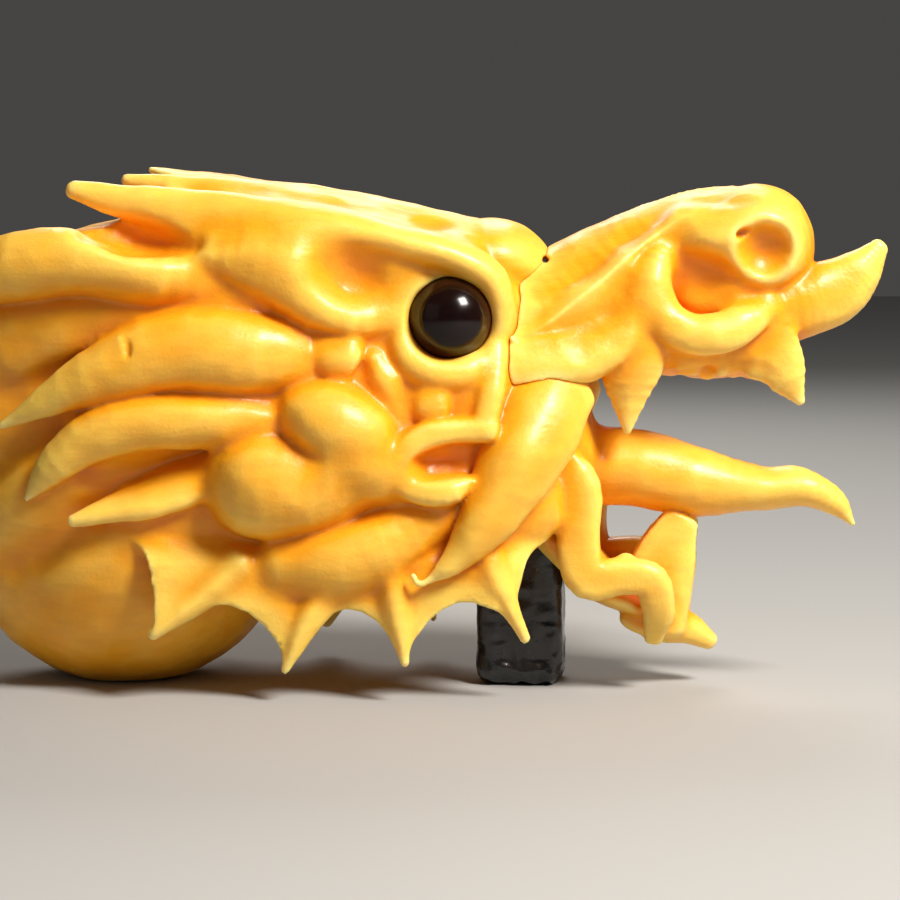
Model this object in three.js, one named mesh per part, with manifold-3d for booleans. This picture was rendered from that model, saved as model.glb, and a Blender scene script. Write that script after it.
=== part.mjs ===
// Carved pumpkin: a dragon's head with ball eyes, standing on its own rump and a post under the jaw.
// Lengths are in millimetres. +X points out of the mouth, +Z is up and -Y is the dragon's right side.
// Points on a flank are written [x, out, z], where out is the distance from the middle plane.

import * as THREE from "three";
import { mergeVertices } from "three/addons/utils/BufferGeometryUtils.js";
import Module from "manifold-3d";

const wasm = await Module();
wasm.setup();

// Sizes shared by several pieces

const FIT_GAP = 0.3;
const RIGHT = -1;
const LEFT = 1;
const EYE = { x: 2.6, out: 30, z: 91.7, radius: 10 };
const GLUE_JOINT = { x: 25, halfWidth: 13, bottom: 77, top: 95, reach: 30 };
const POST = { x: 18, width: 22, depth: 22, height: 37, corner: 3, recessMargin: 3 };
// Corner of the space below the table top, far outside the carving
const BELOW = { x: 200, out: 100, depth: 60 };
// How far a limb's closing point stands beyond its last ring, in the smaller half size there
const CAP = 0.7;
// How the beard web bends: outward towards its foot, outward at the rear, inward under the mouth
const WEB_BEND = { lean: 0.1, leanFrom: 30, flare: 0.16, flareFrom: -25, tuck: 0.7, tuckFrom: 14 };

// Geometry helpers

function solidFrom(geometry) {
  geometry.deleteAttribute("normal");
  geometry.deleteAttribute("uv");
  const merged = mergeVertices(geometry, 1e-4);
  return new wasm.Manifold(new wasm.Mesh({
    numProp: 3,
    vertProperties: new Float32Array(merged.attributes.position.array),
    triVerts: new Uint32Array(merged.index.array),
  }));
}

function meshFrom(solid, name, look) {
  const body = solid.getMesh();
  const geometry = new THREE.BufferGeometry();
  geometry.setAttribute("position", new THREE.BufferAttribute(body.vertProperties, 3));
  geometry.setIndex(new THREE.BufferAttribute(body.triVerts, 1));
  geometry.computeVertexNormals();
  const mesh = new THREE.Mesh(geometry, new THREE.MeshStandardMaterial(look));
  mesh.name = name;
  return mesh;
}

function joined(geometries) {
  return wasm.Manifold.union(geometries.map(solidFrom));
}

// A tapered limb: rings along a curve through the spine, closed by a point at each end.
// wide is half its breadth, thick is half its depth along the face direction, and
// round is the exponent of its section: 2 is an ellipse, less gives a ridge along each edge.
function limb({ spine, wide, thick = wide, side = LEFT, face, round = 2, sides = 8, rows = 7, grow = 0 }) {
  const path = new THREE.CatmullRomCurve3(spine.map(([x, out, z]) => new THREE.Vector3(x, side * out, z)));
  const girth = new THREE.CatmullRomCurve3(wide.map((half, i) => new THREE.Vector3(half, thick[i], 0)));
  const outward = new THREE.Vector3(...(face ?? [0, side, 0]));
  const geometry = new THREE.SphereGeometry(1, sides, rows + 1);
  const place = geometry.attributes.position;
  for (let i = 0; i < place.count; i += 1) {
    const ball = new THREE.Vector3().fromBufferAttribute(place, i);
    const ring = Math.round((Math.acos(THREE.MathUtils.clamp(ball.y, -1, 1)) / Math.PI) * (rows + 1));
    const along = THREE.MathUtils.clamp((ring - 1) / (rows - 1), 0, 1);
    const centre = path.getPoint(along);
    const ahead = path.getTangent(along);
    const depthway = outward.clone().addScaledVector(ahead, -outward.dot(ahead)).normalize();
    const breadthway = depthway.clone().cross(ahead);
    const size = girth.getPoint(along).addScalar(grow);
    if (ring === 0 || ring === rows + 1) {
      const cap = CAP * Math.min(size.x, size.y);
      centre.addScaledVector(ahead, ring === 0 ? -cap : cap);
    } else {
      const angle = Math.atan2(ball.z, ball.x);
      const across = Math.sign(Math.cos(angle)) * Math.abs(Math.cos(angle)) ** (2 / round);
      const deep = Math.sign(Math.sin(angle)) * Math.abs(Math.sin(angle)) ** (2 / round);
      centre.addScaledVector(breadthway, across * size.x).addScaledVector(depthway, deep * size.y);
    }
    place.setXYZ(i, centre.x, centre.y, centre.z);
  }
  return geometry;
}

// A rounded lump, nose end turned down by dip degrees in the side view.
function lobe({ at, radii, dip = 0, side = LEFT, sides = 12, rows = 8, grow = 0 }) {
  const geometry = new THREE.SphereGeometry(1, sides, rows);
  geometry.rotateX(Math.PI / 2);
  geometry.scale(radii[0] + grow, radii[1] + grow, radii[2] + grow);
  geometry.rotateY(THREE.MathUtils.degToRad(dip));
  geometry.translate(at[0], side * at[1], at[2]);
  return geometry;
}

// A beard web: a bent plate whose lower edge runs in scallops from tip to tip.
function web({ start, tips, dips, end, top, out, thick, side, grow = 0 }) {
  const outline = new THREE.Shape();
  outline.moveTo(start[0], start[1]);
  tips.forEach((tip, i) => outline.quadraticCurveTo(dips[i][0], dips[i][1], tip[0], tip[1]));
  outline.quadraticCurveTo(dips[tips.length][0], dips[tips.length][1], end[0], end[1]);
  outline.lineTo(end[0], top);
  outline.lineTo(start[0], top);
  outline.closePath();
  const geometry = new THREE.ExtrudeGeometry(outline, {
    depth: thick + 2 * grow,
    bevelEnabled: false,
    curveSegments: 3,
  });
  geometry.rotateX(Math.PI / 2);
  geometry.translate(0, side * out + thick / 2 + grow, 0);
  const place = geometry.attributes.position;
  for (let i = 0; i < place.count; i += 1) {
    const lean = WEB_BEND.lean * (WEB_BEND.leanFrom - place.getZ(i));
    const flare = WEB_BEND.flare * Math.max(WEB_BEND.flareFrom - place.getX(i), 0);
    const tuck = WEB_BEND.tuck * Math.max(place.getX(i) - WEB_BEND.tuckFrom, 0);
    place.setY(i, place.getY(i) + side * (lean + flare - tuck));
  }
  return geometry;
}

// A roof: straight down each flank from its ridge to its edge, then back in to a keel below.
// Each station is [x, ridge height, edge out, edge height, keel height].
function roof(stations) {
  const corners = [];
  const around = 4;
  stations.forEach(([x, ridge, out, edge, keel]) => {
    corners.push(x, 0, ridge, x, out, edge, x, 0, keel, x, -out, edge);
  });
  const faces = [0, 1, 2, 0, 2, 3];
  for (let row = 0; row + 1 < stations.length; row += 1) {
    for (let i = 0; i < around; i += 1) {
      const here = around * row + i;
      const next = around * row + ((i + 1) % around);
      faces.push(here, here + around, next, next, here + around, next + around);
    }
  }
  const last = around * (stations.length - 1);
  faces.push(last, last + 2, last + 1, last, last + 3, last + 2);
  const geometry = new THREE.BufferGeometry();
  geometry.setAttribute("position", new THREE.Float32BufferAttribute(corners, 3));
  geometry.setIndex(faces);
  return geometry;
}

function roundedPost(width, depth, corner, height) {
  const halfWidth = width / 2;
  const halfDepth = depth / 2;
  const outline = new THREE.Shape();
  outline.moveTo(-halfWidth + corner, -halfDepth);
  outline.lineTo(halfWidth - corner, -halfDepth);
  outline.quadraticCurveTo(halfWidth, -halfDepth, halfWidth, -halfDepth + corner);
  outline.lineTo(halfWidth, halfDepth - corner);
  outline.quadraticCurveTo(halfWidth, halfDepth, halfWidth - corner, halfDepth);
  outline.lineTo(-halfWidth + corner, halfDepth);
  outline.quadraticCurveTo(-halfWidth, halfDepth, -halfWidth, halfDepth - corner);
  outline.lineTo(-halfWidth, -halfDepth + corner);
  outline.quadraticCurveTo(-halfWidth, -halfDepth, -halfWidth + corner, -halfDepth);
  const geometry = new THREE.ExtrudeGeometry(outline, { depth: height, bevelEnabled: false, curveSegments: 3 });
  geometry.translate(POST.x, 0, 0);
  return geometry;
}

function block(fromCorner, toCorner) {
  const size = toCorner.map((value, i) => value - fromCorner[i]);
  const geometry = new THREE.BoxGeometry(...size);
  geometry.translate(...fromCorner.map((value, i) => value + size[i] / 2));
  return geometry;
}

// Head: the forms on the middle plane

function headCore(grow) {
  return [
    // Rump, back of the skull, skull, jowl, and the pad of cheek between them
    lobe({ at: [-82, 0, 43], radii: [44, 39, 45.5], sides: 12, rows: 7, grow }),
    lobe({ at: [-101, 0, 74], radii: [29, 31.5, 25], sides: 10, rows: 6, grow }),
    limb({
      spine: [[-104, 0, 74], [-66, 0, 82], [-25, 0, 90], [6, 0, 90]],
      wide: [26, 29, 23, 16], thick: [33, 36, 35, 27], round: 2.3, sides: 10, rows: 4, grow,
    }),
    limb({
      spine: [[-72, 0, 50], [-32, 0, 52], [4, 0, 56], [26, 0, 56]],
      wide: [25, 24, 19, 12], thick: [33, 36, 33, 21], round: 2.3, sides: 10, rows: 4, grow,
    }),
    limb({
      spine: [[-34, 0, 71], [-5, 0, 71], [19, 0, 69]],
      wide: [12, 12, 10], thick: [33, 32, 26], round: 2.6, sides: 6, rows: 2, grow,
    }),
    // Root that carries the snout, cut flat at the joint
    limb({
      spine: [[2, 0, 87], [27, 0, 86]],
      wide: [9, 8.6], thick: [13, 12], sides: 6, rows: 2, grow,
    }),
    // Crown under the feathers, and the mane that falls from it down the back
    limb({
      spine: [[-20, 0, 106], [-50, 0, 111], [-78, 0, 110]],
      wide: [6, 6, 6], thick: [30, 30, 25], round: 2.6, sides: 8, rows: 3, grow,
    }),
    limb({
      spine: [[-78, 0, 112], [-100, 0, 106], [-117, 0, 94], [-126, 0, 78], [-127, 0, 62], [-123, 0, 48]],
      wide: [13, 14, 12.5, 10, 6, 1], thick: [4, 4.5, 4.5, 4, 3, 1], face: [-1, 0, 0.6],
      round: 1.8, sides: 6, rows: 5, grow,
    }),
    // Forehead plate, running back to a point, and the rounded end of the forehead
    limb({
      spine: [[6, 0, 106], [-20, 0, 111], [-50, 0, 119], [-75, 0, 127.3]],
      wide: [6, 7, 6, 1], thick: [26, 29, 24, 2], sides: 8, rows: 4, grow,
    }),
    lobe({ at: [12, 0, 105.5], radii: [13.5, 19, 9.5], dip: 12, sides: 8, rows: 4, grow }),
    // Tongue, jaw floor and chin
    limb({
      spine: [[22, 0, 53], [42, 0, 54], [62, 0, 50], [77, 0, 48.5], [87, 0, 49], [95, 0, 45.5], [100, 0, 40]],
      wide: [9.5, 9.8, 8.4, 5.6, 4.8, 3.3, 0.8], thick: [12, 12, 10, 8, 6.5, 4, 1], sides: 6, rows: 6, grow,
    }),
    limb({
      spine: [[24, 0, 40], [36, 0, 27], [46, 0, 21], [54, 0, 18]],
      wide: [7, 5, 4, 4], thick: [20, 19, 17, 13], sides: 6, rows: 4, grow,
    }),
    limb({
      spine: [[52, 0, 15], [59, 0, 13.5], [64.5, 0, 10.5]],
      wide: [5, 3.8, 2.2], thick: [9, 6, 3], sides: 6, rows: 3, grow,
    }),
  ];
}

// Head: the forms carved on each flank

function headFlank(side, grow) {
  const flank = { side, grow };
  const leaning = [0, side, 0.45];
  const ribs = [
    [[10.5, 33, 37], [15.7, 33, 26], [20.7, 31, 15]],
    [[-12, 34, 33], [-9.5, 35.5, 21], [-7.6, 36.5, 9.6]],
    [[-27, 35, 27], [-32.3, 37, 16.8], [-36.2, 38, 7.8]],
    [[-47, 37, 33], [-58.5, 39.5, 23.5], [-67.3, 41.5, 16.5]],
  ];
  return [
    // Temple, which carries the brow, the eye socket and the ear
    limb({
      ...flank, sides: 5, rows: 4,
      spine: [[9, 20, 92], [0, 23, 93], [-20, 27, 101.5], [-40, 30, 106], [-62, 30, 109], [-76, 29, 113]],
      wide: [10, 15, 11, 7.5, 6, 2], thick: [9, 11, 11, 10, 7, 2],
    }),
    // Feather beside the crest
    limb({
      ...flank, sides: 5, rows: 3,
      spine: [[-28, 14, 115], [-55, 15, 120], [-78, 15, 124.5]], wide: [5, 5, 1.5], thick: [5, 4, 1.5],
    }),
    // Brow sweeping back into the long horn
    limb({
      ...flank, sides: 5, rows: 7,
      spine: [
        [13, 27, 84.5], [14.6, 27, 92], [12.5, 28.5, 101], [3, 29.5, 106.5],
        [-11.5, 30.5, 110], [-33, 31, 113], [-57, 32, 114.8], [-87, 33, 122],
      ],
      wide: [2.4, 3.2, 3.8, 4.2, 4.8, 6.6, 7.6, 2.2], thick: [3.5, 5, 6.4, 8, 9, 9, 6, 2.2],
    }),
    // Ear: a leaf running back to a thin tip
    limb({
      ...flank, sides: 6, rows: 5, face: [0, side, -0.25],
      spine: [[-10, 32, 97], [-20.1, 37, 96.2], [-33.6, 39.5, 99.5], [-48, 40, 104], [-63.6, 39, 106]],
      wide: [8, 8.6, 6, 3.2, 0.8], thick: [4, 5, 5.6, 4.4, 1.4],
    }),
    // Locks of the nape, then the hair locks from the crown down
    limb({
      ...flank, sides: 6, rows: 5, round: 1.8, face: [-1, 0.8 * side, 0.6],
      spine: [[-80, 24, 106], [-99, 25, 101], [-114, 23, 90], [-123, 20, 74], [-122, 18, 56]],
      wide: [11, 12, 11, 8.5, 1], thick: [5, 5, 5, 4, 1],
    }),
    limb({
      ...flank, sides: 6, rows: 5, face: leaning,
      spine: [[-53, 35, 100], [-66, 38.5, 102], [-84, 40, 105], [-104, 38, 103], [-130, 30, 94]],
      wide: [4, 7.4, 7.8, 8, 1.2], thick: [4, 8, 9, 8, 1.2],
    }),
    limb({
      ...flank, sides: 6, rows: 5, face: leaning,
      spine: [[-28, 35, 80], [-43.5, 40, 84], [-62, 42, 84.5], [-81.5, 43, 77.8], [-104, 40, 66]],
      wide: [6.5, 9.8, 9.6, 7, 0.8], thick: [6, 8, 7.6, 5.6, 0.8],
    }),
    limb({
      ...flank, sides: 6, rows: 5, face: leaning,
      spine: [[-34, 35, 66.5], [-56, 41, 67.5], [-75, 43, 66.5], [-89, 43, 58.5], [-98, 41, 48.5]],
      wide: [5, 6.4, 6.6, 5, 1], thick: [6, 7, 6.6, 4.6, 1],
    }),
    limb({
      ...flank, sides: 6, rows: 3, face: [0, side, 0.9],
      spine: [[-50, 34, 57.5], [-70, 39, 49.6], [-86, 41.5, 44]], wide: [5, 5, 2], thick: [3.4, 2.8, 1.2],
    }),
    // Lower eyelid, the scales under it and the pearl
    limb({
      ...flank, sides: 5, rows: 5, face: [0, side, -0.35],
      spine: [[-8.6, 31.5, 89.5], [-7, 34, 82.7], [-1, 34.5, 78.9], [6, 33, 78.9], [12.5, 28.5, 82.5]],
      wide: [3.4, 4, 4.3, 4, 3], thick: [4, 4.4, 4.4, 4.4, 3.5],
    }),
    limb({
      ...flank, sides: 6, rows: 3,
      spine: [[-23.8, 35, 87.5], [-23.4, 36, 82.5], [-22.5, 35.8, 78]],
      wide: [6.3, 5.6, 1.6], thick: [3.6, 3.6, 2],
    }),
    limb({
      ...flank, sides: 5, rows: 3,
      spine: [[-15, 33.5, 82], [-12.4, 34, 76.3], [-9.2, 33.6, 69.6]],
      wide: [2.6, 3.6, 1], thick: [4, 4.4, 2.4],
    }),
    limb({
      ...flank, sides: 6, rows: 3,
      spine: [[-1.6, 34, 74], [-1.4, 34.8, 71], [-1.2, 34.6, 68.4]],
      wide: [4.4, 4.5, 2.8], thick: [3.6, 3.8, 2.6],
    }),
    // Moustache strap and its curl
    limb({
      ...flank, sides: 5, rows: 8,
      spine: [
        [13.5, 28, 83.5], [12.6, 31.5, 74.3], [11.3, 33.5, 65.8], [1, 36, 65], [-6.2, 37, 61.6],
        [-9.6, 37, 56.5], [-6.3, 37, 51.8], [1.5, 36.5, 50.6], [9.4, 34.5, 53.4],
      ],
      wide: [2.8, 3.5, 3.5, 3.3, 3.3, 3.4, 3.4, 3.2, 2], thick: [4, 5, 5, 5, 5, 5, 5, 5, 4],
    }),
    // Tusk, ridged along both edges
    limb({
      ...flank, sides: 6, rows: 5, round: 1.6,
      spine: [
        [27, 22, 75], [22.6, 28.5, 65], [17.8, 33, 54.6],
        [11.1, 36, 43], [3.3, 37.5, 33.5], [-1.9, 38, 29.6],
      ],
      wide: [9.5, 9.6, 8, 5.4, 2.8, 0.8], thick: [6, 7.5, 7.5, 5.5, 3, 0.8],
    }),
    // Cheek lobes
    lobe({ ...flank, at: [-24, 36.5, 66], radii: [17, 11, 10.4], dip: 28, sides: 8, rows: 5 }),
    limb({
      ...flank, sides: 7, rows: 5,
      spine: [[-52, 34, 53.5], [-44, 36.5, 52.5], [-30, 36, 52], [-16, 35, 52]],
      wide: [9, 13.6, 11.6, 7], thick: [7, 12, 10.5, 6],
    }),
    limb({
      ...flank, sides: 6, rows: 3,
      spine: [[-36, 32, 33], [-23, 33, 34], [-11, 32, 39], [2, 30, 47]],
      wide: [8.5, 9.5, 8.4, 7], thick: [9, 10, 8.6, 6],
    }),
    // Lower jaw lip, folded down and forward like a ribbon
    limb({
      ...flank, sides: 5, rows: 9,
      spine: [
        [26, 18, 58], [32.3, 20, 50], [33, 21, 36.5], [35.5, 21, 28.6],
        [43.5, 20, 29], [50, 19, 28], [52.3, 17, 21.5], [51.5, 14, 14],
      ],
      wide: [5.4, 5.8, 5.6, 5.2, 4.8, 4.6, 4.2, 2.8], thick: [4, 4, 4, 4, 4, 4, 4, 3],
    }),
    // Flat lower fang
    limb({
      ...flank, sides: 6, rows: 3, round: 1.8,
      spine: [[51, 6, 16], [53.5, 6, 30], [57.8, 6, 41]], wide: [8.5, 7.8, 4.4], thick: [4, 3, 1.4],
    }),
    // Beard web and its ribs
    web({
      ...flank, out: 33.5, thick: 3.4, top: 42,
      start: [27.5, 41],
      tips: [[20.5, 16], [-7.7, 10], [-36, 8.5], [-67, 17]],
      dips: [[17, 30], [4, 34], [-21.5, 35], [-47, 33], [-67, 39]],
      end: [-76, 41],
    }),
    ...ribs.map((spine) => limb({
      ...flank, spine, sides: 5, rows: 3, wide: [4.8, 3.4, 1.4], thick: [2.6, 3.4, 1.6],
    })),
  ];
}

// Hollows scooped out of each flank of the head

function headScoops(side) {
  return [
    // Ear cup, and the hollow under the horn
    lobe({ side, at: [-23, 46, 103], radii: [14, 12.5, 8.4], dip: 16, sides: 7, rows: 4 }),
    limb({
      side, sides: 6, rows: 3,
      spine: [[-80, 43, 110.5], [-70, 43.5, 109.5], [-56, 46, 107], [-44, 48, 106]],
      wide: [2.5, 5.4, 3, 1], thick: [6, 9, 6, 4],
    }),
    // Eye of the moustache curl
    lobe({ side, at: [3, 41, 57.8], radii: [8.4, 8, 3.7], sides: 6, rows: 4 }),
  ];
}

function eyeball(side, grow) {
  return lobe({
    side, grow, at: [EYE.x, EYE.out, EYE.z], radii: [EYE.radius, EYE.radius, EYE.radius], sides: 12, rows: 7,
  });
}

function headForms(grow) {
  return joined([...headCore(grow), ...headFlank(RIGHT, grow), ...headFlank(LEFT, grow)]);
}

function carveHead() {
  const recessX = POST.width / 2 + POST.recessMargin;
  const recessOut = POST.depth / 2 + POST.recessMargin;
  const cuts = joined([
    ...headScoops(RIGHT),
    ...headScoops(LEFT),
    eyeball(RIGHT, FIT_GAP),
    eyeball(LEFT, FIT_GAP),
    block([-BELOW.x, -BELOW.out, -BELOW.depth], [BELOW.x, BELOW.out, 0]),
    block([POST.x - recessX, -recessOut, -BELOW.depth], [POST.x + recessX, recessOut, POST.height + FIT_GAP]),
    block(
      [GLUE_JOINT.x, -GLUE_JOINT.halfWidth, GLUE_JOINT.bottom],
      [GLUE_JOINT.x + GLUE_JOINT.reach, GLUE_JOINT.halfWidth, GLUE_JOINT.top],
    ),
  ]);
  return headForms(0).subtract(cuts);
}

// Snout: the forms on the middle plane, then those on each flank, then its hollows

function snoutCore() {
  return [
    limb({
      spine: [[18, 0, 90], [30, 0, 95], [42, 0, 101], [54, 0, 107], [66, 0, 109], [78, 0, 109]],
      wide: [12, 14, 14, 12.4, 13.4, 14], thick: [21, 18, 15.5, 13.5, 13.5, 14], sides: 6, rows: 5,
    }),
    // Folded roof, its crisp edge overhanging the panel on each flank
    roof([
      [14, 100.5, 23, 85.4, 82], [24, 106.2, 23, 89, 84], [31, 110.4, 22.5, 94.4, 88],
      [38.4, 114.4, 21, 100.4, 94], [44.4, 117.4, 19, 106, 100], [50.5, 119.8, 16, 110.8, 106],
      [60, 122.4, 11, 116, 110], [70, 123.4, 7, 119.5, 112],
    ]),
    // Palate
    limb({
      spine: [[20, 0, 84], [47, 0, 85], [62, 0, 84], [78, 0, 82]],
      wide: [5, 8, 8, 6], thick: [24, 18, 15.5, 11], sides: 6, rows: 4,
    }),
    // Mass between the two nose hollows, and the nose
    lobe({ at: [66, 0, 98], radii: [16, 14, 12], sides: 7, rows: 4 }),
    lobe({ at: [77.5, 0, 109.3], radii: [13.2, 19.5, 14], sides: 10, rows: 5 }),
    // Upturned upper lip
    limb({
      spine: [[70, 0, 92], [82, 0, 93.5], [90, 0, 95.4], [96, 0, 97.8], [101, 0, 101.8], [105.2, 0, 107.2]],
      wide: [7, 8.6, 8.6, 7.8, 5.8, 2.8], thick: [13, 11, 8.5, 6.5, 4.4, 2.2], sides: 6, rows: 5,
    }),
  ];
}

function snoutFlank(side) {
  return [
    // Lip band that climbs to the nose
    limb({
      side, sides: 5, rows: 5, face: [0, side, 0.4],
      spine: [
        [13, 25.8, 79.9], [28, 24.3, 80.2], [36, 22.3, 81.4],
        [43.5, 19.5, 86.2], [47.5, 17.3, 93.4], [50.6, 15, 102.4], [52.5, 11.5, 107.5],
      ],
      wide: [6, 5.4, 4.8, 4, 3.4, 2.6, 1.2], thick: [4, 4, 4, 4, 4, 4, 2.5],
    }),
    // Curled ridge round the hollow behind the nose
    limb({
      side, sides: 5, rows: 6, face: [0, side, 0.3],
      spine: [
        [52.8, 11.5, 107.5], [51.3, 15.5, 102.5], [51.2, 17.5, 96.8], [54, 18.5, 91],
        [60, 18.5, 87.6], [67, 17.5, 88], [73, 15, 90.4], [78, 11.5, 92.8],
      ],
      wide: [1.4, 2.8, 3.7, 4.1, 4.2, 3.9, 3.2, 1.6], thick: [2.5, 4, 4, 4, 4, 4, 4, 3],
    }),
    // Long fang and front tooth
    limb({
      side, sides: 6, rows: 3,
      spine: [[45.7, 17, 84], [45.2, 17.2, 76.5], [44.6, 17, 64]], wide: [8.4, 6.8, 0.8], thick: [4.5, 4, 0.8],
    }),
    limb({
      side, sides: 6, rows: 3,
      spine: [[79, 9, 85], [82.5, 9.5, 77.5], [86.2, 9, 71]], wide: [5.2, 3.7, 1.2], thick: [4, 3.2, 1.2],
    }),
  ];
}

function snoutScoops(side) {
  return [
    // Nostril, and the hollow behind the nose
    lobe({ side, at: [79, 20, 107], radii: [7.8, 11.5, 8], sides: 8, rows: 4 }),
    lobe({ side, at: [63.5, 21.5, 99.8], radii: [10.4, 10, 9.2], sides: 7, rows: 4 }),
  ];
}

function carveSnout() {
  const forms = joined([...snoutCore(), ...snoutFlank(RIGHT), ...snoutFlank(LEFT)]);
  const cuts = joined([
    ...snoutScoops(RIGHT),
    ...snoutScoops(LEFT),
    block(
      [GLUE_JOINT.x - GLUE_JOINT.reach, -GLUE_JOINT.halfWidth, GLUE_JOINT.bottom - GLUE_JOINT.reach],
      [GLUE_JOINT.x + FIT_GAP, GLUE_JOINT.halfWidth, GLUE_JOINT.top],
    ),
  ]);
  return forms.subtract(cuts).subtract(headForms(FIT_GAP));
}

function carvePost() {
  return solidFrom(roundedPost(POST.width, POST.depth, POST.corner, POST.height));
}

// Assembly, moved so that the middle of its footprint box is the origin

const FLESH = { color: 0xf0a637, roughness: 0.45, metalness: 0 };
const GLASS = { color: 0x2a1009, roughness: 0.08, metalness: 0 };
const BLACK = { color: 0x0c0c0d, roughness: 0.35, metalness: 0 };

const dragon = new THREE.Group();
dragon.name = "carved_pumpkin";
dragon.add(meshFrom(carveHead(), "pumpkin_head", FLESH));
dragon.add(meshFrom(carveSnout(), "snout", FLESH));
dragon.add(meshFrom(solidFrom(eyeball(RIGHT, 0)), "right_eye", GLASS));
dragon.add(meshFrom(solidFrom(eyeball(LEFT, 0)), "left_eye", GLASS));
dragon.add(meshFrom(carvePost(), "support_post", BLACK));

const extent = new THREE.Box3().setFromObject(dragon);
const middle = extent.getCenter(new THREE.Vector3());
dragon.children.forEach((piece) => piece.geometry.translate(-middle.x, -middle.y, -extent.min.z));

export default dragon;
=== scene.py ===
"""Carved pumpkin dragon's head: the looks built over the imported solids.

The flesh is sculpted as a signed distance grid in millimetres, in the sculptor's frame that the solids use:
+X out of the mouth, +Z up from the table, -Y the dragon's right side, zero where the camera aims along X.
Points on a flank are written (x, out, z), where out is the distance from the middle plane.
"""
import math

import bpy
import numpy as np
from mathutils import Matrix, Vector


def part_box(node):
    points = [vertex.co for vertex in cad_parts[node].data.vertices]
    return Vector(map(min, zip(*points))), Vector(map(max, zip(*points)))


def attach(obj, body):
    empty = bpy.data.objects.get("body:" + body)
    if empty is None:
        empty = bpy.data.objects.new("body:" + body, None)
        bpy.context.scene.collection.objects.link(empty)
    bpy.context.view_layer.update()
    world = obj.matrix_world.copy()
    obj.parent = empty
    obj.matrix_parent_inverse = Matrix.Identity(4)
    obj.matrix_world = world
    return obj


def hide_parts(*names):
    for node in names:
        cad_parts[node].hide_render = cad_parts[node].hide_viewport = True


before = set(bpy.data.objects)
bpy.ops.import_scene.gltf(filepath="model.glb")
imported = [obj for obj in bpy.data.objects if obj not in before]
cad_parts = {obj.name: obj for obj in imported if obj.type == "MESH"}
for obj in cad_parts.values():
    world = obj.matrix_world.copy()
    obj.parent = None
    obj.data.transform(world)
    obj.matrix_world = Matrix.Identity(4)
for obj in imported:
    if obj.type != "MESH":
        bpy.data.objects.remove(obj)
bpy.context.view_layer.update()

# Driving sizes, in millimetres

EYE_PLACE = np.array((2.6, -30.0, 91.7))
EYE_RADIUS = 10.0
# Gap left between neighbouring pieces
SEAM = 0.12
GRID_STEP = 0.7
SNOUT_STEP = 0.5
POST_STEP = 0.5
REACH = 8.0
# The sign of y on each flank, the pupil's half angle in radians, and the most triangles in each mesh
RIGHT = -1
LEFT = 1
PUPIL_ANGLE = 0.92
HEAD_TRIANGLES = 190000
SNOUT_TRIANGLES = 120000
POST_TRIANGLES = 40000
# Hand work: how far a carved surface wanders, and how deep a knife's flats are
WANDER = 0.25
FLAT_DEPTH = 0.35
# Flesh colour, with painted shade in creases and hollows and painted highlight on edges: the distances over
# which a crease and a hollow are felt
CREASE_RADIUS = 1.6
HOLLOW_RADIUS = 5.0
MM = 0.001

eye_low, eye_high = (np.array(corner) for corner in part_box("right_eye"))
TO_ROW = (eye_low + eye_high) / 2 - EYE_PLACE * MM


# Sculpting tools

def smooth_min(a, b, blend):
    """The lower of two fields, rounded where they meet within blend millimetres."""
    if blend <= 0:
        return np.minimum(a, b)
    near = np.maximum(blend - np.abs(a - b), 0) / blend
    return np.minimum(a, b) - near * near * blend / 4


def catmull_rom(points, pieces):
    """Points along a smooth curve through the given ones, pieces of it between each pair."""
    points = np.array(points, float)
    padded = np.vstack((2 * points[0] - points[1], points, 2 * points[-1] - points[-2]))
    steps = np.linspace(0, 1, pieces, endpoint=False)[:, None]
    rows = []
    for before, start, end, after in zip(padded, padded[1:], padded[2:], padded[3:]):
        slope_in = (end - before) / 2
        slope_out = (after - start) / 2
        cubic = 2 * (start - end) + slope_in + slope_out
        square = 3 * (end - start) - 2 * slope_in - slope_out
        rows.append(start + steps * (slope_in + steps * (square + steps * cubic)))
    rows.append(points[-1:])
    return np.vstack(rows)


class Clay:
    """A block of sculptor's clay: distance to the surface on a grid, negative inside."""

    def __init__(self, low, high, step=GRID_STEP):
        self.low = np.array(low, float)
        self.step = step
        self.size = np.ceil((np.array(high) - self.low) / step).astype(int) + 1
        self.axes = [(self.low[i] + step * np.arange(self.size[i])).astype(np.float32) for i in range(3)]
        self.field = np.full(self.size, REACH, np.float32)

    def window(self, low, high):
        """The grid cells between two corners, and their coordinates."""
        start = np.clip(np.floor((low - self.low) / self.step).astype(int), 0, self.size - 1)
        stop = np.clip(np.ceil((high - self.low) / self.step).astype(int) + 1, start + 1, self.size)
        cells = tuple(slice(a, b) for a, b in zip(start, stop))
        x, y, z = (axis[part] for axis, part in zip(self.axes, cells))
        return cells, (x[:, None, None], y[None, :, None], z[None, None, :])

    def add(self, form, blend=1.0, trench=None):
        """Joins a form on. A trench (width, depth) first hollows what it lands on, all along its border."""
        cells, new = form.sample(self)
        old = self.field[cells]
        if trench:
            width, depth = trench
            old = old + depth * (1 - np.clip(new / width, 0, 1)) ** 2
        self.field[cells] = smooth_min(old, new, blend)

    def cut(self, form, blend=1.0):
        """Scoops a form out."""
        cells, new = form.sample(self)
        self.field[cells] = -smooth_min(-self.field[cells], new, blend)

    def keep_below(self, limit, blend=0.5):
        """Keeps only where the limit field is negative."""
        self.field = -smooth_min(-self.field, -limit, blend)


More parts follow.
